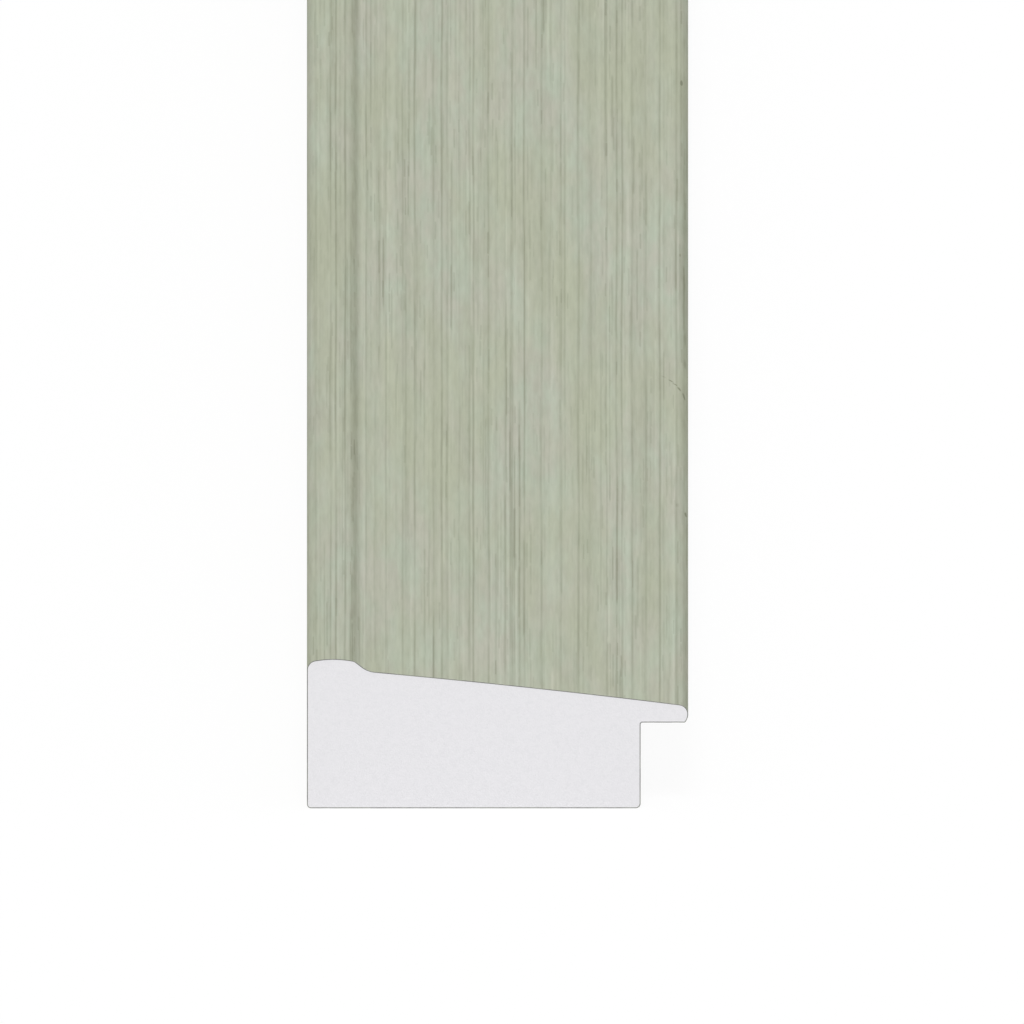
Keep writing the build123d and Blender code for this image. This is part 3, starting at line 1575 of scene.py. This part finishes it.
@dataclass(frozen=True)
class Studio:
    """White floor, and even light from all round with one soft lamp.

    Attributes:
        floor_size: Length of the floor's sides.
        floor_drop: How far the floor lies below the stick.
        floor_paint: The floor's colour, as it lights the stick from below.
        shown_shadow: Share of the floor's brightness that its shadows can take away.
        sky: Strength of the light from all round.
        lamp: Strength of the lamp, as the brightness that it gives a white surface facing it.
        towards_lamp: Direction from the stick to the lamp.
        lamp_distance: Distance to the lamp.
        lamp_spread: Angle that the lamp covers.
    """

    floor_size: float = 14.0
    floor_drop: float = 0.01 * MM
    floor_paint: Colour = (0.82, 0.82, 0.82, 1.0)
    shown_shadow: float = 0.08
    sky: float = 0.70
    lamp: float = 0.38
    towards_lamp: tuple[float, float, float] = (-0.04, -0.55, 0.83)
    lamp_distance: float = 3.0
    lamp_spread: float = math.radians(20.0)

    def build(self) -> None:
        """Builds the floor and the light."""
        self._floor()
        self._sky()
        self._lamp()

    @staticmethod
    def _seen(wiring: Wiring) -> Socket:
        """Tells the rays by which the background is seen from the rays that light.

        Args:
            wiring: The background's wiring.

        Returns:
            One for the rays by which it is seen, and zero for the others.
        """
        path = wiring.node("ShaderNodeLightPath").outputs
        direct = wiring.math("MAXIMUM", path["Is Camera Ray"], path["Is Glossy Ray"])
        return wiring.math("MAXIMUM", direct, path["Is Transmission Ray"])

    def _floor(self) -> None:
        """A large level floor, white to the camera, with a faint shadow."""
        half = self.floor_size / 2
        mesh = bpy.data.meshes.new("studio_floor")
        edges = [(-half, -half), (half, -half), (half, half), (-half, half)]
        mesh.from_pydata([(*edge, -self.floor_drop) for edge in edges], [], [(0, 1, 2, 3)])
        material = bpy.data.materials.new("white_floor")
        wiring = Wiring(emptied(material))
        seen = self._seen(wiring)
        paint = wiring.blend(seen, self.floor_paint, WHITE)
        matt = wiring.node("ShaderNodeBsdfDiffuse", {"Color": paint}).outputs[0]
        glow = wiring.node("ShaderNodeEmission", {"Color": WHITE, "Strength": 1.0}).outputs[0]
        share = wiring.math("MULTIPLY", seen, 1.0 - self.shown_shadow)
        mixed = wiring.node("ShaderNodeMixShader", {0: share, 1: matt, 2: glow})
        wiring.node("ShaderNodeOutputMaterial", {"Surface": mixed.outputs[0]})
        mesh.materials.append(material)
        put_in_scene("studio_floor", mesh)

    def _sky(self) -> None:
        """Even light from all round, seen as white."""
        world = bpy.data.worlds.new("studio_light")
        wiring = Wiring(emptied(world))
        strength = wiring.between(self._seen(wiring), self.sky, 1.0)
        glow = wiring.node("ShaderNodeBackground", {"Color": WHITE, "Strength": strength})
        wiring.node("ShaderNodeOutputWorld", {"Surface": glow.outputs[0]})
        bpy.context.scene.world = world

    def _lamp(self) -> None:
        """One soft lamp, in front of the near end and high above it."""
        lamp = bpy.data.lights.new("soft_lamp", "SUN")
        lamp.energy = self.lamp * math.pi
        lamp.angle = self.lamp_spread
        holder = put_in_scene("soft_lamp", lamp)
        holder.rotation_mode = "QUATERNION"
        holder.rotation_quaternion = Vector(self.towards_lamp).to_track_quat("Z", "Y")
        holder.location = Vector(self.towards_lamp) * self.lamp_distance


@dataclass(frozen=True)
class StickCamera:
    """The camera: parallel, straight along the stick and looking a little down on the near end.

    Attributes:
        frame_pixels: Side of the picture.
        pixels_per_mm: Scale of the picture across the stick.
        elevation: Angle of the view above the level.
        outer_side_pixel: Column of the outer side.
        end_foot_pixel: Line of the near end's foot.
        stand_off: Distance of the camera from the point that it looks at.
        nearest: Distance from which the camera sees.
        furthest: Distance to which it sees.
    """

    frame_pixels: int = 1024
    pixels_per_mm: float = 9.08
    elevation: float = math.radians(14.4)
    outer_side_pixel: float = 306.4
    end_foot_pixel: float = 807.8
    stand_off: float = 1.5
    nearest: float = 0.01
    furthest: float = 100.0

    def build(self, low: Vector) -> None:
        """Sets up the camera.

        Args:
            low: Lowest corner of the stick, at the foot of its outer side and near end.
        """
        middle = (self.frame_pixels - 1) / 2
        aside = (middle - self.outer_side_pixel) / self.pixels_per_mm * MM
        below = (self.end_foot_pixel - middle) / self.pixels_per_mm * MM
        target = Vector((low.x + aside, low.y + below / math.sin(self.elevation), low.z))
        back = Vector((0.0, -math.cos(self.elevation), math.sin(self.elevation)))
        data = bpy.data.cameras.new("stick_camera")
        data.type = "ORTHO"
        data.ortho_scale = self.frame_pixels / self.pixels_per_mm * MM
        data.clip_start = self.nearest
        data.clip_end = self.furthest
        camera = put_in_scene("stick_camera", data)
        camera.rotation_mode = "QUATERNION"
        camera.location = target + back * self.stand_off
        camera.rotation_quaternion = (-back).to_track_quat("-Z", "Y")
        bpy.context.scene.camera = camera


def main() -> None:
    """Builds the stick, its finishes, the light and the camera, in that order."""
    logging.basicConfig(level=logging.INFO, format="%(message)s")
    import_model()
    bpy.context.scene.view_settings.view_transform = "Standard"
    moulding = MouldingStick(*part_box(STICK_NODE))
    stick = moulding.build()
    log.info("moulding_stick: %d faces", len(stick.data.polygons))
    moulding.dress(stick, SharedEffects())
    log.info("moulding_stick: %s", ", ".join(m.name for m in stick.data.materials))
    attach(stick, "root")
    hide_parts(STICK_NODE)
    Studio().build()
    StickCamera().build(moulding.low)


if __name__ == "__main__":
    main()
